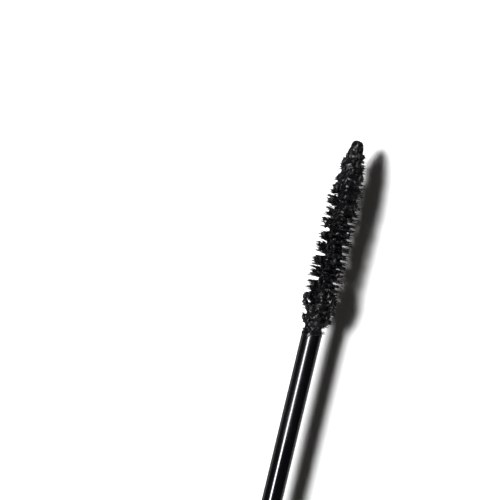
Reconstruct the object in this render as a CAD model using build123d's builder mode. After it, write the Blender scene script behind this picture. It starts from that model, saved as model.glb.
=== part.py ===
from build123d import *

import os

# A mascara tube, open: a bottle lying on its side, and its wand drawn straight out of it.
#
# The tube's axis is the X axis. X = 0 is the face that the bottle stands on, +X runs towards the
# cap, and +Z is up. Every length is in millimetres. Each turned piece is an outline of (x, radius)
# points, revolved about the X axis.

# ---- Driving dimensions ----
tube_radius = 7.5
bottle_length = 72.0  # from the standing face to the shoulder
cap_length = 50.0
neck_length = 12.0  # from the shoulder to the neck's rim
rod_radius = 1.6
rod_reach = 34.0  # bare rod between the cap's mouth and the brush
brush_length = 31.0  # from the rod's end to the brush's tip
brush_radius = 3.05
travel = 107.0  # how far the wand is drawn out of the closed tube

# ---- Walls, gaps and closure ----
shell_wall = 1.0
cap_wall = 1.1
inner_cap_wall = 0.75
fit_gap = 0.05  # radial gap between pieces that plug together
parting_gap = 0.3  # shows between the cap's mouth and the shoulder
neck_radius = 4.8
neck_bore = 3.9
lug_radius = 5.5
lug_span = 76.0  # degrees, for each of the two lugs on the neck and in the cap
lug_length = 1.6
lug_play = 0.2  # axial play between the locked lugs
stop_span = 6.4  # degrees

washer_thickness = 0.8
flange_thickness = 1.0
wiper_flange = 0.6
plug_radius = 3.25  # the rod's seal plug, which closes the wiper's mouth
wire_strand = 0.24  # radius of one strand of the twisted core
wire_pitch = 3.8
wire_turns = 10

# ---- Stations along X, worked out from the above ----
shoulder = bottle_length
rim = shoulder + neck_length
collar_band = 1.2
collar_depth = 1.8  # how far the trim ring's skirt reaches into the sleeve
shell_top = shoulder - collar_band
collar_seat = shell_top - collar_depth  # the inner bottle's own shoulder
base_thickness = 0.9
inner_base = 5.3
neck_lug = rim - 7.8  # low end of the neck's lugs

# The wand is modelled drawn out. Its stations are counted from the washer's lower face.
seat = rim + wiper_flange + travel
cap_mouth = seat - (neck_length + wiper_flange - parting_gap)
cap_end = cap_mouth + cap_length
flange = seat + washer_thickness
cap_floor = flange + flange_thickness
rod_end = cap_mouth - rod_reach
brush_tip = rod_end - brush_length
core_low = brush_tip + 0.5
core_high = core_low + wire_turns * wire_pitch

bore_radius = tube_radius - cap_wall - inner_cap_wall  # of the inner cap
shell_bore = tube_radius - shell_wall


def outline(*points):
    """A closed face through (x, radius) points, to be turned about the X axis."""
    with BuildSketch() as face:
        with BuildLine():
            Polyline(*points, close=True)
        make_face()
    return face.sketch


def sector(start_angle, *points):
    """An outline whose plane is turned about X, so that a part turn starts at that angle."""
    with BuildSketch(Plane.XY.rotated((start_angle, 0, 0))) as face:
        with BuildLine():
            Polyline(*points, close=True)
        make_face()
    return face.sketch


def save(piece, name):
    """Labels one finished piece and writes it as its own STEP file."""
    piece.part.label = name
    export_step(piece.part, f"parts/{name}.step")


os.makedirs("parts", exist_ok=True)

# ---- Bottle ----

# Decorative outer sleeve, open at both ends.
with BuildPart() as bottle_shell:
    revolve(
        outline(
            (base_thickness, shell_bore),
            (base_thickness, tube_radius),
            (shell_top, tube_radius),
            (shell_top, shell_bore),
        ),
        axis=Axis.X,
    )
    outer_edges = bottle_shell.edges().filter_by(GeomType.CIRCLE).sort_by(SortBy.RADIUS)[-2:]
    fillet(outer_edges, radius=0.2)
save(bottle_shell, "bottle_shell")

# Plug that closes the sleeve's lower end and is the face the bottle stands on.
plug_skirt = shell_bore - fit_gap
plug_wall = 0.9
label_recess = 0.3
label_radius = 4.9
with BuildPart() as base_plug:
    revolve(
        outline(
            (label_recess, 0),
            (label_recess, label_radius + 0.1),
            (0, label_radius + 0.1),
            (0, tube_radius - 0.1),
            (base_thickness, tube_radius - 0.1),
            (base_thickness, plug_skirt),
            (inner_base - 0.3, plug_skirt),
            (inner_base - 0.3, plug_skirt - plug_wall),
            (base_thickness + 0.5, plug_skirt - plug_wall),
            (base_thickness + 0.5, 0),
        ),
        axis=Axis.X,
    )
    standing_edge = base_plug.edges().filter_by(GeomType.CIRCLE).group_by(Axis.X)[0]
    fillet(standing_edge.sort_by(SortBy.RADIUS)[-1], radius=0.35)
save(base_plug, "base_plug")

# Blank round sticker in the plug's recess.
label_thickness = 0.15
with BuildPart() as base_label:
    with BuildSketch(Plane.YZ.offset(label_recess - label_thickness)):
        Circle(label_radius)
    extrude(amount=label_thickness)
save(base_label, "base_label")

# Vial that holds the mascara: rounded base, shoulder, and a neck with two bayonet lugs.
vial_radius = shell_bore - 2 * fit_gap
vial_wall = 0.9
vial_bore = vial_radius - vial_wall
vial_floor = inner_base + 1.0
corner = 1.2
with BuildPart() as inner_bottle:
    revolve(
        outline(
            (inner_base, 0),
            (inner_base, vial_radius),
            (collar_seat, vial_radius),
            (collar_seat, neck_radius),
            (rim, neck_radius),
            (rim, neck_bore),
            (collar_seat + 1.2, neck_bore),
            (collar_seat - 1.6, vial_bore),
            (vial_floor, vial_bore),
            (vial_floor, 0),
        ),
        axis=Axis.X,
    )
    rings = inner_bottle.edges().filter_by(GeomType.CIRCLE)
    fillet(rings.group_by(Axis.X)[0], radius=corner)
    fillet(rings.filter_by_position(Axis.X, vial_floor - 0.01, vial_floor + 0.01), radius=corner - 0.2)
    # The snap bead holds the collar down.
    revolve(
        outline(
            (shoulder + 0.1, neck_radius - 0.2),
            (shoulder + 0.1, neck_radius + 0.2),
            (shoulder + 0.4, neck_radius + 0.2),
            (shoulder + 0.8, neck_radius - 0.2),
        ),
        axis=Axis.X,
    )
    # Each lug has a sloped lead-in towards the rim, and a stop beside its low end.
    for middle in (0, 180):
        revolve(
            sector(
                middle - lug_span / 2,
                (neck_lug, neck_radius - 0.2),
                (neck_lug, lug_radius),
                (neck_lug + lug_length - 0.5, lug_radius),
                (neck_lug + lug_length, neck_radius),
                (neck_lug + lug_length, neck_radius - 0.2),
            ),
            axis=Axis.X,
            revolution_arc=lug_span,
        )
        revolve(
            sector(
                middle - lug_span / 2 - 0.6 - stop_span,
                (neck_lug - lug_length - 2 * lug_play, neck_radius - 0.2),
                (neck_lug - lug_length - 2 * lug_play, lug_radius - 0.1),
                (neck_lug + lug_length - 0.5, lug_radius - 0.1),
                (neck_lug + lug_length - 0.5, neck_radius - 0.2),
            ),
            axis=Axis.X,
            revolution_arc=stop_span,
        )
save(inner_bottle, "inner_bottle")

# Trim ring: a band flush with the sleeve, and a skirt inside it.
collar_skirt = shell_bore - fit_gap
with BuildPart() as neck_collar:
    revolve(
        outline(
            (collar_seat, collar_skirt - 0.6),
            (collar_seat, collar_skirt),
            (shell_top, collar_skirt),
            (shell_top, tube_radius - 0.05),
            (shoulder, tube_radius - 0.05),
            (shoulder, neck_radius + fit_gap),
            (shell_top, neck_radius + fit_gap),
            (shell_top, collar_skirt - 0.6),
        ),
        axis=Axis.X,
    )
    band_edges = neck_collar.edges().filter_by(GeomType.CIRCLE).sort_by(SortBy.RADIUS)[-2:]
    fillet(band_edges, radius=0.2)
save(neck_collar, "neck_collar")

# Wiper: a flange on the neck's rim, a sleeve in its bore, and a cone down to the wiping lip.
wiper_radius = neck_bore - 0.02
wiper_bore = plug_radius + fit_gap
sleeve_low = rim - 6.5
lip_radius = rod_radius + 0.08
lip_wall = 0.25
lip_high = rim - 11.0
lip_low = lip_high - 0.8
with BuildPart() as wiper:
    revolve(
        outline(
            (rim, neck_radius - 0.3),
            (rim + wiper_flange, neck_radius - 0.3),
            (rim + wiper_flange, wiper_bore + 0.2),
            (rim - 0.1, wiper_bore + 0.2),
            (rim - 0.1, wiper_bore),
            (sleeve_low, wiper_bore),
            (lip_high, lip_radius),
            (lip_low, lip_radius),
            (lip_low, lip_radius + lip_wall),
            (sleeve_low - 0.5, wiper_radius - 0.1),
            (sleeve_low + 0.1, wiper_radius),
            (rim, wiper_radius),
        ),
        axis=Axis.X,
    )
    flange_edges = wiper.edges().filter_by(GeomType.CIRCLE).group_by(Axis.X)[-1]
    fillet(flange_edges.sort_by(SortBy.RADIUS)[-1], radius=0.2)
save(wiper, "wiper")

# Mascara in the vial, with the channel that the wand leaves in it.
channel_radius = 3.6
fill_top = 58.0
with BuildPart() as formula:
    revolve(
        outline(
            (vial_floor + 0.05, 0),
            (vial_floor + 0.05, vial_bore - corner),
            (vial_floor + corner, vial_bore - fit_gap),
            (fill_top, vial_bore - fit_gap),
            (fill_top - 2.0, channel_radius),
            (vial_floor + 0.6, channel_radius),
            (vial_floor + 0.6, 0),
        ),
        axis=Axis.X,
    )
save(formula, "formula")

# ---- Seal ----

# Loose washer on the rod's journal. It goes with the wand and needn't turn with it.
with BuildPart() as seal_washer:
    revolve(
        outline(
            (seat, plug_radius + fit_gap),
            (seat, neck_radius - 0.1),
            (seat + washer_thickness, neck_radius - 0.1),
            (seat + washer_thickness, plug_radius + fit_gap),
        ),
        axis=Axis.X,
    )
    rim_edges = seal_washer.edges().filter_by(GeomType.CIRCLE).sort_by(SortBy.RADIUS)[-2:]
    fillet(rim_edges, radius=0.15)
save(seal_washer, "seal_washer")

# ---- Wand ----

# Outer cap, closed at the end, with a recess for its end disc.
disc_radius = 5.55
disc_recess = 0.6
end_wall = 1.2
cap_bore = tube_radius - cap_wall
weight_top = cap_end - disc_recess - end_wall
with BuildPart() as cap_shell:
    revolve(
        outline(
            (cap_mouth, cap_bore),
            (cap_mouth, tube_radius),
            (cap_end, tube_radius),
            (cap_end, disc_radius + fit_gap),
            (cap_end - disc_recess, disc_radius + fit_gap),
            (cap_end - disc_recess, 0),
            (weight_top, 0),
            (weight_top, cap_bore),
        ),
        axis=Axis.X,
    )
    rings = cap_shell.edges().filter_by(GeomType.CIRCLE)
    fillet(rings.group_by(Axis.X)[0], radius=0.2)
    fillet(rings.group_by(Axis.X)[-1].sort_by(SortBy.RADIUS)[-1], radius=0.8)
save(cap_shell, "cap_shell")

# End disc, set just below the cap's rim.
with BuildPart() as cap_end_disc:
    with BuildSketch(Plane.YZ.offset(cap_end - disc_recess)):
        Circle(disc_radius)
    extrude(amount=disc_recess - 0.1)
    fillet(cap_end_disc.edges().group_by(Axis.X)[-1], radius=0.12)
save(cap_end_disc, "cap_end_disc")

# Steel slug that gives the cap its heft. The inner cap holds it against the end wall.
weight_length = 10.0
with BuildPart() as cap_weight:
    with BuildSketch(Plane.YZ.offset(weight_top - weight_length)):
        Circle(cap_bore - 0.1)
    extrude(amount=weight_length)
    chamfer(cap_weight.edges().filter_by(GeomType.CIRCLE), length=0.4)
save(cap_weight, "cap_weight")

# Inner cap: skirt, floor, socket for the rod's head, and two bayonet lugs near the mouth.
inner_mouth = cap_mouth + 1.0
head_radius = 2.6  # of the rod's head
head_length = 8.5
socket_radius = head_radius + 1.4
socket_top = cap_floor + head_length + 0.3
rib_thickness = 0.8
cap_lug_top = neck_lug + travel - lug_play
groove = cap_floor + 6.0
with BuildPart() as inner_cap:
    revolve(
        outline(
            (inner_mouth, bore_radius),
            (inner_mouth, cap_bore - fit_gap),
            (weight_top - weight_length, cap_bore - fit_gap),
            (weight_top - weight_length, bore_radius),
            (cap_floor + 2.0, bore_radius),
            (cap_floor + 2.0, socket_radius),
            (socket_top + 1.2, socket_radius),
            (socket_top + 1.2, 0),
            (socket_top, 0),
            (socket_top, head_radius + fit_gap),
            (groove + 0.9, head_radius + fit_gap),
            (groove + 0.7, head_radius + 0.2),
            (groove + 0.2, head_radius + 0.2),
            (groove, head_radius + fit_gap),
            (cap_floor, head_radius + fit_gap),
            (cap_floor, bore_radius),
        ),
        axis=Axis.X,
    )
    for middle in (90, 270):
        revolve(
            sector(
                middle - lug_span / 2,
                (cap_lug_top - lug_length, bore_radius + 0.1),
                (cap_lug_top - lug_length, bore_radius),
                (cap_lug_top - lug_length + 0.5, neck_radius + 0.15),
                (cap_lug_top, neck_radius + 0.15),
                (cap_lug_top, bore_radius + 0.1),
            ),
            axis=Axis.X,
            revolution_arc=lug_span,
        )
    # Ribs between the socket and the skirt.
    with BuildSketch(Plane.YZ.offset(cap_floor + 2.0)):
        with PolarLocations(0, 6):
            with Locations(((bore_radius + socket_radius) / 2, 0)):
                Rectangle(bore_radius - socket_radius + 0.3, rib_thickness)
    extrude(amount=head_length - 3.0)
save(inner_cap, "inner_cap")

# Rod: snap head, flange, washer journal, seal plug, taper, and a straight shank to the brush.
bead = seat - 0.5
plug_low = seat - 3.3
taper_low = seat - 7.1
core_radius = 2 * wire_strand + 0.03
with BuildPart() as rod:
    revolve(
        outline(
            (rod_end, 0),
            (rod_end, rod_radius),
            (taper_low, rod_radius),
            (plug_low, plug_radius),
            (bead, plug_radius),
            (bead + 0.15, plug_radius + 0.17),
            (bead + 0.35, plug_radius + 0.17),
            (bead + 0.45, plug_radius),
            (flange, plug_radius),
            (flange, neck_radius - 0.2),
            (cap_floor, neck_radius - 0.2),
            (cap_floor, head_radius),
            (groove + 0.15, head_radius),
            (groove + 0.3, head_radius + 0.15),
            (groove + 0.6, head_radius + 0.15),
            (groove + 0.75, head_radius),
            (cap_floor + head_length - 0.4, head_radius),
            (cap_floor + head_length, head_radius - 0.4),
            (cap_floor + head_length, 0),
        ),
        axis=Axis.X,
    )
    fillet(rod.edges().filter_by(GeomType.CIRCLE).group_by(Axis.X)[0], radius=0.2)
    with Locations(Plane(origin=(rod_end, 0, 0), z_dir=(-1, 0, 0))):
        Hole(core_radius, depth=core_high - rod_end + 2 * core_radius)
save(rod, "rod")

# Brush core: one wire folded double at its top end, inside the rod, and twisted round itself.
strand_offset = wire_strand + 0.015
with BuildPart() as brush_wire:
    for turn in (0, 180):
        with BuildLine():
            strand_path = Helix(
                wire_pitch,
                wire_turns * wire_pitch,
                strand_offset,
                center=(core_low, 0, 0),
                direction=(1, 0, 0),
            )
        with BuildSketch(strand_path ^ 0):
            Circle(wire_strand)
        strand = sweep(is_frenet=True, mode=Mode.PRIVATE)
        add(strand.rotate(Axis.X, turn))
    fold_centre = strand_path @ 1
    with BuildSketch(Plane(origin=fold_centre, z_dir=(1, 0, 0))):
        Circle(wire_strand)
    revolve(axis=Axis((core_high, 0, 0), (0, 1, 0)), revolution_arc=180)
save(brush_wire, "brush_wire")

# Bristle head: the room that the fibres take up, as one soft solid round the core.
fibre_low = brush_tip + 2.3
fibre_high = rod_end - 0.4
taper_start = brush_tip + 10.0
heel_radius = 0.76 * brush_radius  # at the rod's end, and halfway down the taper
nose_radius = 0.42 * brush_radius
with BuildPart() as bristles:
    with BuildSketch():
        with BuildLine():
            Polyline(
                (fibre_low, core_radius),
                (fibre_high, core_radius),
                (fibre_high, heel_radius),
                (fibre_high - 2.6, brush_radius),
                (taper_start, brush_radius),
            )
            Spline(
                (taper_start, brush_radius),
                (fibre_low + 3.4, heel_radius),
                (fibre_low, nose_radius),
                tangents=((-1, 0), (-1, -1)),
            )
            Line((fibre_low, nose_radius), (fibre_low, core_radius))
        make_face()
    revolve(axis=Axis.X)
save(bristles, "bristles")
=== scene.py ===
import math
import random

import bmesh
import bpy
import numpy as np
from mathutils import Matrix, Vector, noise


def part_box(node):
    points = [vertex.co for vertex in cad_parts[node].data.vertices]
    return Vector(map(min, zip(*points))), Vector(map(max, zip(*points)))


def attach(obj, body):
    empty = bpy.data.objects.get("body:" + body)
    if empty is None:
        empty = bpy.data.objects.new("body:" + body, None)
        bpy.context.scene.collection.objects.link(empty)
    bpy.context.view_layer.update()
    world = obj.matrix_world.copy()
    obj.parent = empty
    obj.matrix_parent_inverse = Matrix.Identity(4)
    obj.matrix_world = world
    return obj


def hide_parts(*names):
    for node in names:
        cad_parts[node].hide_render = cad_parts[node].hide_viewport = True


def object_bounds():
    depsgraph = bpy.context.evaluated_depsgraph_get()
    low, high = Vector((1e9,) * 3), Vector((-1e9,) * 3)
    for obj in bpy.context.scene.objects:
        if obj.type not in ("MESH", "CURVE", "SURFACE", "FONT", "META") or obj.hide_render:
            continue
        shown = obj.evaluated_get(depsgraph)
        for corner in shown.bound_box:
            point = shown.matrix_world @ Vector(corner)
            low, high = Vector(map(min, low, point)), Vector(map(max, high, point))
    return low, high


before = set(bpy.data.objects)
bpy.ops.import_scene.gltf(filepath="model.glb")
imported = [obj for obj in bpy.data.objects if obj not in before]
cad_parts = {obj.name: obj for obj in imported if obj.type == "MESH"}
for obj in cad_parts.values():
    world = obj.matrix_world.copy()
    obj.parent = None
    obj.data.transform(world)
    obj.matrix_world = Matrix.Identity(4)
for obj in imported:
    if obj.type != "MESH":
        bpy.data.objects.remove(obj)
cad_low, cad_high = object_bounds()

# Looks for an open mascara tube. Shapes are worked out in millimetres along the tube's X axis, and
# go into the frame in metres. Angles round the axis are counted from +Y towards +Z. Along the brush,
# t is the distance from the rod's end, in millimetres.

MM = 0.001
TURN = 2 * math.pi

ROD_RADIUS = 1.6
PLUG_BORE = 3.30  # the rod's seal plug fits this bore in the foam washer and in the wiper's mouth
BRUSH_LENGTH = 31.0  # from the rod's end to the brush's tip
PITCH = 3.8  # one turn of the core wire
ROW_STEP = PITCH / 2  # two rows of fibres leave the core on each turn
CORE_INSET = 0.5  # from the brush's tip to the start of the wire's first turn
WIRE_SKEW = 0.093  # how far the wire's slanted end reaches past that start


def ends(node):
    """Where a CAD node starts and ends along X, in millimetres."""
    low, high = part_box(node)
    return low.x / MM, high.x / MM


rod_end = ends("rod")[0]
core_low = ends("brush_wire")[0] + WIRE_SKEW
tip = core_low - CORE_INSET
neck_rim = ends("inner_bottle")[1]


# ---------------------------------------------------------------------------------------------
# Mesh tools
# ---------------------------------------------------------------------------------------------


def smoothstep(a, b, x):
    """0 up to a, 1 from b on, and a smooth rise between them."""
    t = min(max((x - a) / (b - a), 0.0), 1.0)
    return t * t * (3 - 2 * t)


class Soup:
    """Vertices and faces gathered for one mesh, in millimetres."""

    def __init__(self):
        self.verts = []
        self.faces = []

    def strand(self, path, radii, sides):
        """A closed tapered strand along a path of points."""
        start = len(self.verts)
        for i, (p, r) in enumerate(zip(path, radii)):
            along = (path[min(i + 1, len(path) - 1)] - path[max(i - 1, 0)]).normalized()
            u = Vector((1, 0, 0)) - along * along.x
            if u.length < 0.1:
                u = Vector((0, 1, 0)) - along * along.y
            u.normalize()
            v = along.cross(u)
            for k in range(sides):
                a = TURN * k / sides
                self.verts.append(p + u * (r * math.cos(a)) + v * (r * math.sin(a)))
        self._skin(start, len(path), sides)

    def blob(self, centre, radii, rng):
        """A lumpy closed drop, coarse, to be melted into its neighbours by the remesh."""
        start = len(self.verts)
        rings, sides = 6, 8
        for i in range(rings):
            polar = math.pi * (i + 0.5) / rings
            for k in range(sides):
                a = TURN * k / sides
                swell = 1 + rng.uniform(-0.15, 0.15)
                x = radii[0] * swell * math.cos(polar)
                y = radii[1] * swell * math.sin(polar) * math.cos(a)
                z = radii[2] * swell * math.sin(polar) * math.sin(a)
                self.verts.append(centre + Vector((x, y, z)))
        self._skin(start, rings, sides)

    def skin_of(self, xs, radius, sides):
        """A closed body round the X axis. radius(x, angle) gives (distance from axis, side offset)."""
        start = len(self.verts)
        for x in xs:
            for k in range(sides):
                a = TURN * k / sides
                r, shift = radius(x, a)
                self.verts.append(Vector((x, r * math.cos(a) + shift, r * math.sin(a))))
        self._skin(start, len(xs), sides)

    def _skin(self, start, rings, sides):
        """Faces over rings of vertices, with a cap on the first and the last."""
        for i in range(rings - 1):
            for k in range(sides):
                a = start + i * sides + k
                b = start + i * sides + (k + 1) % sides
                self.faces.append((a, b, b + sides, a + sides))
        self.faces.append(tuple(start + k for k in reversed(range(sides))))
        self.faces.append(tuple(start + (rings - 1) * sides + k for k in range(sides)))

    def mesh(self, name):
        data = bpy.data.meshes.new(name)
        data.from_pydata([tuple(v) for v in self.verts], [], self.faces)
        data.update()
        return data


def place(data, name, body, mat, stands_for=()):
    """Puts a finished mesh, in millimetres, into the frame as a piece."""
    data.transform(Matrix.Scale(MM, 4))
    data.materials.append(mat)
    data.shade_smooth()
    piece = bpy.data.objects.new(name, data)
    bpy.context.scene.collection.objects.link(piece)
    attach(piece, body)
    if stands_for:
        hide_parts(*stands_for)


def melted(data, voxel):
    """The outer surface of everything in a mesh, fused and softened."""
    temp = bpy.data.objects.new("temp", data)
    bpy.context.scene.collection.objects.link(temp)
    remesh = temp.modifiers.new("fuse", "REMESH")
    remesh.mode = "VOXEL"
    remesh.voxel_size = voxel
    soften = temp.modifiers.new("soften", "SMOOTH")
    soften.factor = 0.5
    soften.iterations = 2
    graph = bpy.context.evaluated_depsgraph_get()
    out = bpy.data.meshes.new_from_object(temp.evaluated_get(graph))
    bpy.data.objects.remove(temp)
    return out


def main_body(data):
    """Keeps a mesh's largest connected part, and drops the crumbs that float beside it."""
    bm = bmesh.new()
    bm.from_mesh(data)
    waiting = set(bm.verts)
    parts = []
    while waiting:
        part = [waiting.pop()]
        for vert in part:
            for edge in vert.link_edges:
                other = edge.other_vert(vert)
                if other in waiting:
                    waiting.remove(other)
                    part.append(other)
        parts.append(part)
    parts.sort(key=len)
    crumbs = [vert for part in parts[:-1] for vert in part]
    bmesh.ops.delete(bm, geom=crumbs, context="VERTS")
    bm.to_mesh(data)
    bm.free()
    return data


def lumps(data, layers):
    """Moves each vertex along its normal by layers of noise: (wave length, height) in millimetres."""
    count = len(data.vertices)
    normals = np.zeros(count * 3)
    data.vertex_normals.foreach_get("vector", normals)
    co = np.zeros(count * 3)
    data.vertices.foreach_get("co", co)
    height = np.zeros(count)
    for i, v in enumerate(data.vertices):
        height[i] = sum(h * noise.noise(v.co / w) for w, h in layers)
    data.vertices.foreach_set("co", co + normals * np.repeat(height, 3))
    data.update()


# ---------------------------------------------------------------------------------------------
# Materials
# ---------------------------------------------------------------------------------------------


def math_node(tree, operation, *sources):
    """One arithmetic node. Each source is a number or a socket."""
    node = tree.nodes.new("ShaderNodeMath")
    node.operation = operation
    for socket, source in zip(node.inputs, sources):
        if isinstance(source, (int, float)):
            socket.default_value = source
        else:
            tree.links.new(source, socket)
    return node.outputs["Value"]


def split_node(tree, vector):
    """The X, Y and Z of a vector socket."""
    node = tree.nodes.new("ShaderNodeSeparateXYZ")
    tree.links.new(vector, node.inputs["Vector"])
    return node.outputs


def map_range(tree, source, start_end, low_high, curve="LINEAR"):
    """Carries a socket's value from one range to another, and holds it within the second."""
    node = tree.nodes.new("ShaderNodeMapRange")
    node.interpolation_type = curve
    node.inputs["From Min"].default_value = start_end[0]
    node.inputs["From Max"].default_value = start_end[1]
    node.inputs["To Min"].default_value = low_high[0]
    node.inputs["To Max"].default_value = low_high[1]
    tree.links.new(source, node.inputs["Value"])
    return node.outputs["Result"]


class Finish:
    """A node material. Its noise runs in millimetres, in the frame's own space."""

    def __init__(self, name):
        self.mat = bpy.data.materials.new(name)
        self.mat.use_nodes = True
        self.tree = self.mat.node_tree
        self.bsdf = self.tree.nodes["Principled BSDF"]
        self.where = self.tree.nodes.new("ShaderNodeTexCoord").outputs["Object"]
        self.relief = None

    def set(self, **values):
        """Sets numbers of the surface by name, with underscores for spaces."""
        for key, value in values.items():
            self.bsdf.inputs[key.replace("_", " ")].default_value = value

    def _measured(self, sizes):
        """The place on the object, counted along each axis in steps of its size in millimetres."""
        mapping = self.tree.nodes.new("ShaderNodeMapping")
        mapping.inputs["Scale"].default_value = [1 / (MM * size) for size in sizes]
        self.tree.links.new(self.where, mapping.inputs["Vector"])
        return mapping.outputs["Vector"]

    def _noise_at(self, vector, detail):
        tex = self.tree.nodes.new("ShaderNodeTexNoise")
        tex.inputs["Scale"].default_value = 1.0
        tex.inputs["Detail"].default_value = detail
        self.tree.links.new(vector, tex.inputs["Vector"])
        return tex

    def noise(self, size, detail=3.0, stretch=(1, 1, 1)):
        """Noise whose features are about size mm across, longer by stretch along each axis."""
        tex = self._noise_at(self._measured([size * s for s in stretch]), detail)
        tex.inputs["Roughness"].default_value = 0.55
        return tex.outputs["Fac"]

    def rings(self, size):
        """Noise that runs in rings round the tube's axis, size mm apart."""
        split = split_node(self.tree, self.where)
        squares = [math_node(self.tree, "POWER", split[axis], 2.0) for axis in "YZ"]
        radius = math_node(self.tree, "SQRT", math_node(self.tree, "ADD", *squares))
        join = self.tree.nodes.new("ShaderNodeCombineXYZ")
        for socket, source in zip(join.inputs, (split["X"], radius)):
            self.tree.links.new(math_node(self.tree, "MULTIPLY", source, 1 / (MM * size)), socket)
        return self._noise_at(join.outputs["Vector"], 2.0).outputs["Fac"]

    def cells(self, size):
        """Cells about size mm across: the distance from the middle of the nearest one."""
        tex = self.tree.nodes.new("ShaderNodeTexVoronoi")
        tex.inputs["Scale"].default_value = 1.0
        self.tree.links.new(self._measured([size] * 3), tex.inputs["Vector"])
        return tex.outputs["Distance"]

    def spread(self, source, key, low, high, start=0.3, end=0.7):
        """Drives one number of the surface between low and high by a noise."""
        level = map_range(self.tree, source, (start, end), (low, high))
        self.tree.links.new(level, self.bsdf.inputs[key])

    def tint(self, source, *stops):
        """Colours the surface by a noise. Each stop is (place, colour)."""
        ramp = self.tree.nodes.new("ShaderNodeValToRGB")
        band = ramp.color_ramp
        while len(band.elements) < len(stops):
            band.elements.new(0.5)
        for element, (at, colour) in zip(band.elements, stops):
            element.position = at
            element.color = (*colour, 1)
        self.tree.links.new(source, ramp.inputs["Fac"])
        self.tree.links.new(ramp.outputs["Color"], self.bsdf.inputs["Base Color"])

    def bump(self, source, depth, strength=1.0):
        """Adds relief, depth in millimetres, on top of the relief already there."""
        node = self.tree.nodes.new("ShaderNodeBump")
        node.inputs["Strength"].default_value = strength
        node.inputs["Distance"].default_value = depth * MM
        self.tree.links.new(source, node.inputs["Height"])
        if self.relief is not None:
            self.tree.links.new(self.relief, node.inputs["Normal"])
        self.relief = node.outputs["Normal"]
        self.tree.links.new(self.relief, self.bsdf.inputs["Normal"])

    def glow_through(self, weight):
        """Lets light run about a millimetre under the surface."""
        self.set(Subsurface_Weight=weight, Subsurface_Radius=(MM, MM, MM), Subsurface_Scale=1.0)


def dimmed(shade, factor):
    return tuple(c * factor for c in shade)


def gloss_black(name, shade, rough):
    """Polished moulded plastic: faint smears in the gloss, a trace of flow marks and a fine grain."""
    f = Finish(name)
    f.tint(f.noise(9.0), (0.3, shade), (0.75, dimmed(shade, 1.8)))
    f.spread(f.noise(4.0, 4.0, (3, 1, 1)), "Roughness", rough, rough * 2.1, 0.35, 0.75)
    f.bump(f.noise(6.0, 2.0, (4, 1, 1)), 0.004)
    f.bump(f.noise(0.12, 2.0), 0.00025)
    f.set(Specular_IOR_Level=0.5, Coat_Weight=0.5, Coat_Roughness=0.04)
    return f.mat


def natural_pp(name, shade, smeared_from):
    """Unpigmented polypropylene: cloudy, and smeared with mascara, fully so from an X in mm on."""
    f = Finish(name)
    fade = 5.5
    start_end = ((smeared_from - fade) * MM, smeared_from * MM)
    more = map_range(f.tree, split_node(f.tree, f.where)["X"], start_end, (-0.16, 0.10))
    smear = math_node(f.tree, "ADD", f.noise(1.8, 5.0, (1, 2.2, 2.2)), more)
    f.tint(smear, (0.30, shade), (0.52, dimmed(shade, 0.86)), (0.62, dimmed(shade, 0.22)))
    f.spread(f.noise(0.8), "Roughness", 0.26, 0.42)
    f.bump(f.noise(0.35, 3.0), 0.004)
    f.bump(f.noise(0.5, 2.0, (0.2, 3, 3)), 0.002)
    f.glow_through(0.25)
    return f.mat


def dark_metal(name):
    """Smoke-coloured vacuum-metallised plastic, spun: fine rings round the tube's axis."""
    f = Finish(name)
    rings = f.rings(0.10)
    f.tint(f.noise(3.0), (0.3, (0.11, 0.11, 0.125)), (0.7, (0.18, 0.18, 0.20)))
    f.spread(rings, "Roughness", 0.14, 0.30)
    f.bump(rings, 0.0012)
    f.set(Metallic=1.0, Coat_Weight=0.4, Coat_Roughness=0.05)
    return f.mat


def turned_steel(name, shade, grain):
    """Steel with fine marks running round it."""
    f = Finish(name)
    f.tint(f.noise(1.5, 4.0), (0.3, shade), (0.7, dimmed(shade, 0.75)))
    f.spread(f.noise(grain, 3.0, (1, 30, 30)), "Roughness", 0.22, 0.45)
    f.bump(f.noise(grain, 3.0, (1, 30, 30)), 0.004)
    f.set(Metallic=1.0)
    return f.mat


def soft_rubber(name):
    """Matt black elastomer with a faint bloom and a moulding grain."""
    f = Finish(name)
    f.tint(f.noise(1.2, 4.0), (0.35, (0.012, 0.012, 0.013)), (0.75, (0.03, 0.03, 0.032)))
    f.spread(f.noise(0.5), "Roughness", 0.45, 0.62)
    f.bump(f.noise(0.06, 3.0), 0.004)
    return f.mat


def foam(name):
    """White closed-cell foam: small pits, with painted shade darkening the middle of each, and a dry
    surface.
    """
    f = Finish(name)
    # painted shade: the cells that dent the pits also darken the colour towards each pit's bottom
    f.tint(f.cells(0.12), (0.05, (0.60, 0.60, 0.58)), (0.5, (0.84, 0.84, 0.82)))
    f.spread(f.noise(0.4), "Roughness", 0.7, 0.85)
    f.bump(f.cells(0.12), 0.02, 0.8)
    f.glow_through(0.2)
    return f.mat


def satin_label(name):
    """Blank silver-grey sticker with a fine paper tooth."""
    f = Finish(name)
    f.tint(f.noise(0.35, 5.0), (0.3, (0.42, 0.42, 0.43)), (0.7, (0.50, 0.50, 0.51)))
    f.spread(f.noise(1.6, 4.0), "Roughness", 0.32, 0.5)
    f.bump(f.noise(0.09, 2.0, (1, 1, 3)), 0.003)
    f.set(Metallic=0.35)
    return f.mat


def wet_mascara(name):
    """Thick wet cream: near-black, faintly blue, glossy, with duller patches where it dries."""
    f = Finish(name)
    f.tint(f.noise(0.9, 4.0), (0.3, (0.0006, 0.0006, 0.0008)), (0.75, (0.0026, 0.0026, 0.0033)))
    f.spread(f.noise(0.8, 4.0), "Roughness", 0.17, 0.38, 0.35, 0.7)
    f.bump(f.noise(0.6, 3.0), 0.08)
    f.bump(f.noise(0.10, 2.0), 0.004)
    f.set(Specular_IOR_Level=0.27, Coat_Weight=0.06, Coat_Roughness=0.12)
    return f.mat


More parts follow.
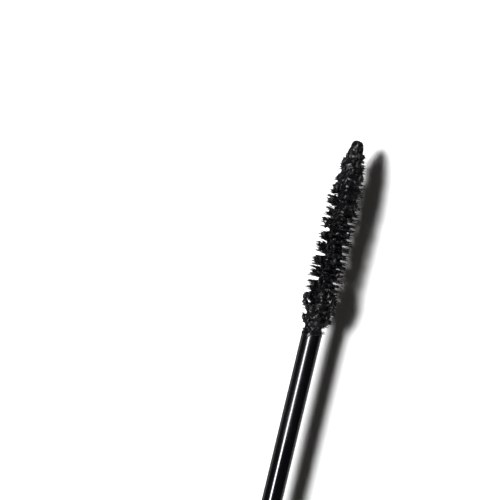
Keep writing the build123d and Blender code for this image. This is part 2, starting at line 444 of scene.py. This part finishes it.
def nylon(name):
    """Fine black fibres, smeared with product in places."""
    f = Finish(name)
    f.tint(f.noise(0.3, 3.0), (0.3, (0.0008, 0.0008, 0.0010)), (0.7, (0.0040, 0.0040, 0.0050)))
    f.spread(f.noise(0.2), "Roughness", 0.22, 0.4)
    f.bump(f.noise(0.06, 2.0), 0.004)
    f.set(Specular_IOR_Level=0.35)
    return f.mat


tube_shade = (0.0035, 0.0036, 0.0048)
inner_cap_mouth = ends("inner_cap")[0]

DRESS = {
    "bottle_shell": gloss_black("shell_black", tube_shade, 0.17),
    "base_plug": gloss_black("plug_black", (0.008, 0.008, 0.009), 0.16),
    "base_label": satin_label("label"),
    "inner_bottle": natural_pp("vial_natural", (0.20, 0.20, 0.205), neck_rim),
    "neck_collar": dark_metal("collar_metal"),
    "wiper": soft_rubber("wiper_black"),
    "cap_shell": gloss_black("cap_black", tube_shade, 0.16),
    "cap_end_disc": dark_metal("disc_metal"),
    "cap_weight": turned_steel("weight_steel", (0.42, 0.42, 0.44), 0.12),
    "inner_cap": natural_pp("inner_cap_natural", (0.34, 0.34, 0.34), inner_cap_mouth),
    "rod": gloss_black("rod_black", (0.0009, 0.0009, 0.0014), 0.15),
    "brush_wire": turned_steel("wire_steel", (0.38, 0.38, 0.40), 0.05),
}
for node_name, finish in DRESS.items():
    node_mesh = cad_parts[node_name].data
    node_mesh.materials.clear()
    node_mesh.materials.append(finish)

mascara = wet_mascara("mascara")
fibre_black = nylon("fibre_black")


# ---------------------------------------------------------------------------------------------
# Brush: fibres gathered into tufts by the mascara they carry
# ---------------------------------------------------------------------------------------------

FIBRES = 1280
FIRST_FIBRE, FIBRE_SPAN = 0.35, 29.0  # where they start along the brush, and over what length
GOLDEN_ANGLE = 2.39996  # from each fibre to the next, so that no two line up
SECTORS = 15  # tufts round the brush
BUNCH = 0.40  # mm of a row whose fibres stick together
ALIKE = 0.6  # rows that come this close along X, in mm, are bunched alike
TOOTH = 0.38  # mm along the brush of one tooth, about
CLEARANCE = 0.15  # from a parting to the nearest tooth
CORE_COAT = 0.72  # radius of the thinnest coat over the core
CLOTS = 22

# How far the fibres stand out from the axis, as (t, distance).
OUTLINE = (
    (0.2, 1.80),
    (1.0, 2.15),
    (2.4, 2.80),
    (6.0, 3.10),
    (19.0, 3.10),
    (22.0, 2.95),
    (24.5, 2.60),
    (27.0, 2.20),
    (28.6, 1.85),
    (29.4, 1.45),
)


def reach(t):
    """How far the fibres stand out from the axis."""
    return float(np.interp(t, *zip(*OUTLINE)))


def load(t):
    """How much mascara the brush carries, 0 to 1: most near the rod and over the tip."""
    return 0.30 + 0.50 * (1 - smoothstep(2.5, 6.0, t)) + 0.50 * smoothstep(21.0, 24.5, t)


def lean(t):
    """The loaded tip sags a little to one side."""
    return 0.08 * smoothstep(22.0, 30.0, t)


def combed(a):
    """1 on the side that was stroked on the surface, where fibres stick together in tufts."""
    return smoothstep(-0.25, 0.75, -math.cos(a))


def open_teeth(t):
    """1 where the side that wasn't stroked has kept its fibres in separate teeth."""
    return smoothstep(5.0, 7.5, t) * (1 - 0.75 * smoothstep(17.5, 20.5, t))


def find_partings(seed):
    """Where the fibres of the side that wasn't stroked part, in mm along X."""
    rng = random.Random(seed)
    places = [rod_end]
    while places[-1] > tip:
        places.append(places[-1] - rng.uniform(0.55, 1.25))
    return places


partings = find_partings(4)


def nearest_row(x, a):
    """Middle of the row of fibres nearest to a point. On the combed side rows stand nearly square."""
    turned = (a % TURN) - math.pi
    straight = math.pi + turned * (1 - 0.55 * combed(a))
    first = core_low + PITCH * straight / TURN
    return first + ROW_STEP * round((x - first) / ROW_STEP)


def tooth_middle(x):
    """Middle of the tooth at x, between the partings on either side of it."""
    above = min(parting for parting in partings if parting >= x)
    below = max(parting for parting in partings if parting < x)
    teeth = max(round((above - below) / TOOTH), 1)
    step = (above - below - 2 * CLEARANCE) / teeth
    tooth = min(max(math.floor((x - below - CLEARANCE) / step), 0), teeth - 1)
    return below + CLEARANCE + step * (tooth + 0.5)


def end_knob(t, r, grain):
    """Ends the coat, of radius r, in a domed knob over the brush's tip."""
    u = BRUSH_LENGTH - t
    dome_end, knob_end, coat_start = 0.85, 1.6, 2.6  # counted from the tip, as u is
    if u >= coat_start:
        return r
    dome = math.sqrt(max(1 - ((dome_end - min(u, dome_end)) / dome_end) ** 2, 0.0))
    knob = (0.94 + 0.22 * smoothstep(0.5, 1.8, u) + 0.16 * grain) * dome
    return knob + (r - knob) * smoothstep(knob_end, coat_start, u)


def rod_joint(t, a, r, grain):
    """Draws the coat, of radius r, in towards the rod, and ends it in a ragged film on the rod."""
    neck_length, film_start, film_inside = 1.8, 0.12, 1.3
    if t < neck_length:
        neck = 1.36 + 0.22 * grain
        r = neck + (r - neck) * smoothstep(0.1, neck_length, t)
    if t < film_start:
        film = ROD_RADIUS + 0.05 + 0.08 * grain
        ragged = -0.12 + 0.75 * noise.noise(Vector((math.cos(a) * 1.4, math.sin(a) * 1.4, 3.3)))
        r = film_inside + (film - film_inside) * smoothstep(ragged - 0.2, ragged, t)
    return r


def coat(x, a):
    """The body of mascara round the core: (distance from axis, side offset)."""
    t = rod_end - x
    side = combed(a)
    ridge = 0.5 + 0.5 * math.cos(TURN * (x - nearest_row(x, a)) / ROW_STEP)
    grain = noise.noise(Vector((x * 1.1, math.cos(a) * 1.6, math.sin(a) * 1.6 + 7)))
    fill = load(t) + 0.80 * (1 - side) * (1 - load(t)) + 0.30 * (ridge - 0.6) + 0.22 * grain
    r = CORE_COAT + (0.80 * reach(t) - CORE_COAT) * min(max(fill, 0.0), 1.0)
    to_parting = min(abs(x - parting) for parting in partings)
    r -= 0.75 * open_teeth(t) * (1 - side) * (1 - smoothstep(0.06, 0.24, to_parting))
    r = rod_joint(t, a, end_knob(t, r, grain), grain)
    return max(r, 0.04), lean(t)


def tuft(x, a):
    """The tuft that a fibre joins: (x of the fibre's root, x and angle of the tuft's middle, how far
    the fibre's end moves to it, relative length). Fibres of a tuft share its random draws."""
    row = nearest_row(x, a)
    side = combed(a)
    sector = math.floor(a / TURN * SECTORS)
    row_pick = random.Random(f"{round(row / ALIKE)}")
    squeeze = row_pick.uniform(0.50, 0.80)
    jog = row_pick.uniform(-0.36, 0.36) * side
    grow = 1 - 0.13 * row_pick.random() * side
    bunch = round((x - row) / BUNCH)
    pick = random.Random(f"{round(row / ROW_STEP)} {sector} {bunch}")
    x_mid = row + jog + BUNCH * squeeze * bunch + pick.uniform(-0.06, 0.06)
    x_root = x + (row - x) * 0.35
    if side < 0.4 and pick.random() < open_teeth(rod_end - x):
        x_mid = tooth_middle(x)
        x_root = x + (x_mid - x) * 0.80
    a_mid = (sector + 0.5 + pick.uniform(-0.25, 0.25)) * TURN / SECTORS
    pull = pick.uniform(0.72, 0.92) + 0.07 * (1 - side)
    return x_root, x_mid, a_mid, pull, grow * (1.01 - 0.28 * pick.random() ** 2.5)


def radial(x, r, a, t):
    """A point at a distance r from the brush's axis, which leans at its tip."""
    return Vector((x, r * math.cos(a) + lean(t), r * math.sin(a)))


def on_fibre(root, end, length, t, s, bend):
    """The point at a share s of a fibre's length. root and end are (x, angle), and bend is how far
    it has gone from the one to the other."""
    x = root[0] + (end[0] - root[0]) * bend
    a = root[1] + (end[1] - root[1]) * bend
    return radial(x, length * s, a, t)


def grow_brush(seed):
    """Two meshes: the mascara, with the tufts it clots together, and the bare fibre ends."""
    rng = random.Random(seed)
    mass = Soup()
    hairs = Soup()
    over_rod = 0.75
    mass.skin_of(np.arange(tip, rod_end + over_rod, 0.1), coat, 60)
    for i in range(FIBRES):
        t = FIRST_FIBRE + FIBRE_SPAN * (i + rng.random()) / FIBRES
        x = rod_end - t
        a = (i * GOLDEN_ANGLE + rng.uniform(-0.1, 0.1)) % TURN
        x_root, x_mid, a_mid, pull, size = tuft(x, a)
        x_tip = x + (x_mid - x) * pull + rng.uniform(-0.03, 0.03)
        a_tip = a + (a_mid - a) * pull + rng.uniform(-0.03, 0.03)
        root, end = (x_root, a), (x_tip, a_tip)
        length = reach(t) * size * (1 + rng.uniform(-0.04, 0.02)) * (0.98 + 0.02 * math.cos(a))
        wet = length * (1 - rng.uniform(0.02, 0.12))
        teeth = open_teeth(t) * (1 - combed(a))
        thick = rng.uniform(0.068, 0.115) + 0.035 * combed(a) + 0.045 * teeth
        shares = (0.15, 0.45, 0.75, 1.0)
        path = [on_fibre(root, end, wet, t, s, s**1.5) for s in shares]
        mass.strand(path, [thick * (1.25 - 0.60 * s) for s in shares], 6)
        if rng.random() < 0.08 + 0.25 * load(t):
            s = rng.uniform(0.55, 0.95)
            drop = rng.uniform(0.13, 0.24) + 0.10 * rng.random() ** 3
            drop_length = drop * rng.uniform(0.8, 1.8)
            mass.blob(on_fibre(root, end, wet, t, s, s), (drop_length, drop, drop), rng)
        for _ in range(2):
            stray = rng.uniform(-0.06, 0.06)
            fan = rng.uniform(-0.02, 0.02)
            bare = length * (1 + rng.uniform(-0.03, 0.07) - 0.04 * teeth)
            strayed = (x_tip + stray, a_tip + fan)
            trail = [on_fibre(root, strayed, bare, t, s, s**1.5) for s in (0.55, 0.8, 1.0)]
            hairs.strand(trail, (0.036, 0.033, 0.02), 4)
    for _ in range(CLOTS):
        t = rng.choice((rng.uniform(1.8, 6.0), rng.uniform(22.5, 28.0)))
        a = rng.uniform(0, TURN)
        size = rng.uniform(0.30, 0.50)
        clot = radial(rod_end - t, 0.93 * reach(t) - size, a, t)
        mass.blob(clot, (size * rng.uniform(1.0, 1.5), size, size), rng)
    return mass, hairs


mass, hairs = grow_brush(11)
paste = main_body(melted(mass.mesh("paste"), 0.085))
lumps(paste, ((0.7, 0.08), (0.3, 0.025)))
place(paste, "brush_mascara", "wand", mascara)
place(hairs.mesh("fibres"), "brush_fibres", "wand", fibre_black, ("bristles",))


# ---------------------------------------------------------------------------------------------
# Soft pieces inside the tube
# ---------------------------------------------------------------------------------------------


def stations(start, end, steps):
    """Evenly spaced places from start to end, both included."""
    return [start + (end - start) * i / steps for i in range(steps + 1)]


def lathe(profile, sides, wobble=None):
    """A closed ring of mesh from a closed (x, radius) profile. wobble(x, r, a) adds to a radius."""
    soup = Soup()
    count = len(profile)
    for k in range(sides):
        a = TURN * k / sides
        for x, r in profile:
            q = r + (wobble(x, r, a) if wobble else 0)
            soup.verts.append(Vector((x, q * math.cos(a), q * math.sin(a))))
    for k in range(sides):
        for i in range(count):
            j = (i + 1) % count
            here, there = k * count, ((k + 1) % sides) * count
            soup.faces.append((here + i, here + j, there + j, there + i))
    return soup


def washer_profile():
    """Die-cut foam, slightly bulged on its rims where the flanges squeeze it."""
    x0, x1 = ends("seal_washer")
    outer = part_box("seal_washer")[1].y / MM
    gap = 0.03  # to the flange on either side
    xs = stations(x0 + gap, x1 - gap, 8)
    slack = [1 - math.sin(math.pi * s) for s in stations(0, 1, 8)]
    bore = [(x, PLUG_BORE + 0.05 * short) for x, short in zip(xs, slack)]
    edge = [(x, outer - 0.10 * short) for x, short in zip(xs, slack)]
    return bore + edge[::-1]


def formula_profile():
    """Mascara left round the channel that the wand sweeps in it."""
    x0, x1 = ends("formula")
    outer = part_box("formula")[1].y / MM
    channel, pinhole = 3.72, 0.4
    bed, mouth = x0 + 0.62, x1 - 2.6
    corner = 1.2
    inside = [(x, channel) for x in stations(bed, mouth, 90)]
    outside = [(x, outer) for x in stations(x1, x0 + corner, 60)]
    return inside + outside + [(x0 + 0.02, outer - corner), (x0 + 0.02, pinhole), (bed, pinhole)]


def ripples(x, r, a):
    """Unevenness of the channel's wall. The outside and the bed stay true."""
    if r > 5 or r < 1:
        return 0
    return 0.14 * noise.noise(Vector((x * 0.8, 2 * math.cos(a), 2 * math.sin(a)))) + 0.08


def residue(seed):
    """A thin uneven ring of mascara wiped off inside the wiper's cone, clear of the rod."""
    rng = random.Random(seed)
    cone_start, cone_end, lip_bore = 6.5, 11.0, 1.68
    soup = Soup()
    for _ in range(150):
        depth = rng.uniform(7.2, 9.6)
        share = (depth - cone_start) / (cone_end - cone_start)
        wall = PLUG_BORE + (lip_bore - PLUG_BORE) * share
        a = rng.uniform(0, TURN)
        size = rng.uniform(0.10, 0.20)
        r = wall - 0.5 * size
        centre = Vector((neck_rim - depth, r * math.cos(a), r * math.sin(a)))
        soup.blob(centre, (size * 1.6, size, size), rng)
    return soup


washer = lathe(washer_profile(), 96).mesh("washer")
place(washer, "seal_foam", "seal", foam("foam_white"), ("seal_washer",))
filling = lathe(formula_profile(), 96, ripples).mesh("filling")
place(filling, "formula_paste", "bottle", mascara, ("formula",))
scraped = melted(residue(5).mesh("scraped"), 0.07)
place(scraped, "wiper_residue", "bottle", mascara)


# ---------------------------------------------------------------------------------------------
# Stage, light and camera
# ---------------------------------------------------------------------------------------------

KEY_TILT = 29.5  # the shadow-casting lights' angle from overhead, in degrees
GLINT_TILT = 25.0  # the angle of the lights that show in the gloss


def axis_glow(tree, direction, axis, start_end, low_high):
    """A strength that goes from low to high as a direction turns towards either end of an axis."""
    size = math_node(tree, "ABSOLUTE", split_node(tree, direction)[axis])
    return map_range(tree, size, start_end, low_high, "SMOOTHSTEP")


def strip_glow(tree, direction, tilt, half, soft):
    """1 inside an endless strip along X, 0 outside it. tilt is its angle from overhead towards -Y."""
    split = split_node(tree, direction)
    sideways = math_node(tree, "MULTIPLY", split["Y"], -1.0)
    angle = math_node(tree, "ARCTAN2", sideways, split["Z"])
    off = math_node(tree, "ABSOLUTE", math_node(tree, "SUBTRACT", angle, math.radians(tilt)))
    edge = (math.radians(half - soft), math.radians(half + soft))
    return map_range(tree, off, edge, (1.0, 0.0), "SMOOTHSTEP")


def glossy_switch(tree, otherwise, when_glossy):
    """The second strength for a ray that left a glossy surface, the first for any other."""
    path = tree.nodes.new("ShaderNodeLightPath")
    switch = tree.nodes.new("ShaderNodeMix")
    switch.data_type = "FLOAT"
    switch.inputs["A"].default_value = otherwise
    tree.links.new(when_glossy, switch.inputs["B"])
    tree.links.new(path.outputs["Is Glossy Ray"], switch.inputs["Factor"])
    return switch.outputs["Result"]


def mirrored_share(tree):
    """How much of the table a glossy ray sees: some beyond the tube's ends, and a little along its
    sides when it is looked at squarely."""
    incoming = tree.nodes.new("ShaderNodeNewGeometry").outputs["Incoming"]
    beyond = axis_glow(tree, incoming, "X", (0.25, 0.85), (0.035, 0.22))
    far = axis_glow(tree, incoming, "Z", (0.15, 0.50), (0.0, 0.34))
    beneath = axis_glow(tree, incoming, "Z", (0.55, 0.90), (1.0, 0.15))
    square = axis_glow(tree, incoming, "X", (0.15, 0.45), (1.0, 0.0))
    rim = math_node(tree, "MULTIPLY", math_node(tree, "MULTIPLY", far, beneath), square)
    return math_node(tree, "MAXIMUM", beyond, rim)


def make_stage():
    """A white table top, just under the tube. Its reflection in the object is held back."""
    data = bpy.data.meshes.new("table")
    half = 1.6
    z = cad_low.z - 0.02 * MM
    x = (cad_low.x + cad_high.x) / 2
    corners = [(x - half, -half, z), (x + half, -half, z), (x + half, half, z), (x - half, half, z)]
    data.from_pydata(corners, [], [(0, 1, 2, 3)])
    table = bpy.data.objects.new("table", data)
    bpy.context.scene.collection.objects.link(table)
    f = Finish("white_table")
    f.tint(f.noise(60.0), (0.3, (0.90, 0.90, 0.90)), (0.7, (0.92, 0.92, 0.92)))
    f.set(Roughness=0.85, Specular_IOR_Level=0.1)
    tree = f.tree
    black = tree.nodes.new("ShaderNodeBsdfDiffuse")
    black.inputs["Color"].default_value = (0, 0, 0, 1)
    mix = tree.nodes.new("ShaderNodeMixShader")
    tree.links.new(glossy_switch(tree, 1.0, mirrored_share(tree)), mix.inputs["Fac"])
    tree.links.new(black.outputs["BSDF"], mix.inputs[1])
    tree.links.new(f.bsdf.outputs["BSDF"], mix.inputs[2])
    tree.links.new(mix.outputs["Shader"], tree.nodes["Material Output"].inputs["Surface"])
    data.materials.append(f.mat)


def make_world():
    """White to the camera, a dim room to everything else. Two long softboxes show in the gloss
    where it faces the room beyond the tube's ends."""
    world = bpy.data.worlds.new("studio")
    world.use_nodes = True
    tree = world.node_tree
    tree.nodes.clear()
    out = tree.nodes.new("ShaderNodeOutputWorld")
    path = tree.nodes.new("ShaderNodeLightPath")
    around = tree.nodes.new("ShaderNodeTexCoord").outputs["Generated"]
    seen = tree.nodes.new("ShaderNodeBackground")
    seen.inputs["Color"].default_value = (1, 1, 1, 1)
    seen.inputs["Strength"].default_value = 1.0
    room = tree.nodes.new("ShaderNodeBackground")
    room.inputs["Color"].default_value = (1, 0.96, 0.90, 1)
    key = math_node(tree, "MULTIPLY", strip_glow(tree, around, GLINT_TILT, 7.0, 3.0), 9.0)
    rim = math_node(tree, "MULTIPLY", strip_glow(tree, around, -58.0, 11.0, 5.0), 0.9)
    boxes = math_node(tree, "ADD", math_node(tree, "ADD", key, rim), 0.12)
    beyond = axis_glow(tree, around, "X", (0.42, 0.62), (0.0, 1.0))
    glow = math_node(tree, "ADD", math_node(tree, "MULTIPLY", boxes, beyond), 0.014)
    tree.links.new(glossy_switch(tree, 0.027, glow), room.inputs["Strength"])
    mix = tree.nodes.new("ShaderNodeMixShader")
    tree.links.new(path.outputs["Is Camera Ray"], mix.inputs["Fac"])
    tree.links.new(room.outputs["Background"], mix.inputs[1])
    tree.links.new(seen.outputs["Background"], mix.inputs[2])
    tree.links.new(mix.outputs["Shader"], out.inputs["Surface"])
    bpy.context.scene.world = world


def facing(spot, right, up, back):
    """The matrix of a light or camera at a spot, which looks the opposite way to back."""
    return Matrix.Translation(spot) @ Matrix((right, up, back)).transposed().to_4x4()


def softbox(name, distance, across, along, watts, tilt, shine):
    """A rectangle of light over the -Y side. It makes either the highlights or the matt shading."""
    data = bpy.data.lights.new(name, "AREA")
    data.shape = "RECTANGLE"
    data.size = along
    data.size_y = across
    data.energy = watts
    lamp = bpy.data.objects.new(name, data)
    bpy.context.scene.collection.objects.link(lamp)
    if shine:
        data.color = (0.95, 0.96, 1.0)
    lamp.visible_glossy = shine
    lamp.visible_diffuse = not shine
    angle = math.radians(tilt)
    away = Vector((0, -math.sin(angle), math.cos(angle)))
    x_axis = Vector((1, 0, 0))
    middle = Vector(((rod_end - 8) * MM, 0, 0))
    lamp.matrix_world = facing(middle + away * distance, x_axis, away.cross(x_axis), away)


def make_camera():
    """Straight down on the wand, turned so that it runs up the picture and leans to the right."""
    data = bpy.data.cameras.new("camera")
    data.sensor_width = 36.0
    data.lens = 180.0
    data.clip_start = 0.01
    data.clip_end = 20.0
    camera = bpy.data.objects.new("camera", data)
    bpy.context.scene.collection.objects.link(camera)
    picture_width = 78.1 * MM
    turned = math.radians(13.5)
    right = Vector((-math.sin(turned), math.cos(turned), 0))
    back = Vector((0, 0, 1))
    aim = Vector(((rod_end - 10.4) * MM, -12.46 * MM, 0))
    distance = picture_width * data.lens / data.sensor_width
    camera.matrix_world = facing(aim + back * distance, right, back.cross(right), back)
    bpy.context.scene.camera = camera


make_stage()
make_world()
softbox("glint_core", 3.0, 0.58, 2.6, 100.0, GLINT_TILT, shine=True)
softbox("glint_edge", 3.02, 0.86, 2.6, 70.0, GLINT_TILT, shine=True)
softbox("key_core", 3.04, 0.58, 0.60, 115.0, KEY_TILT, shine=False)
softbox("key_edge", 3.06, 0.86, 0.86, 80.0, KEY_TILT, shine=False)
make_camera()
bpy.context.scene.view_settings.view_transform = "Standard"
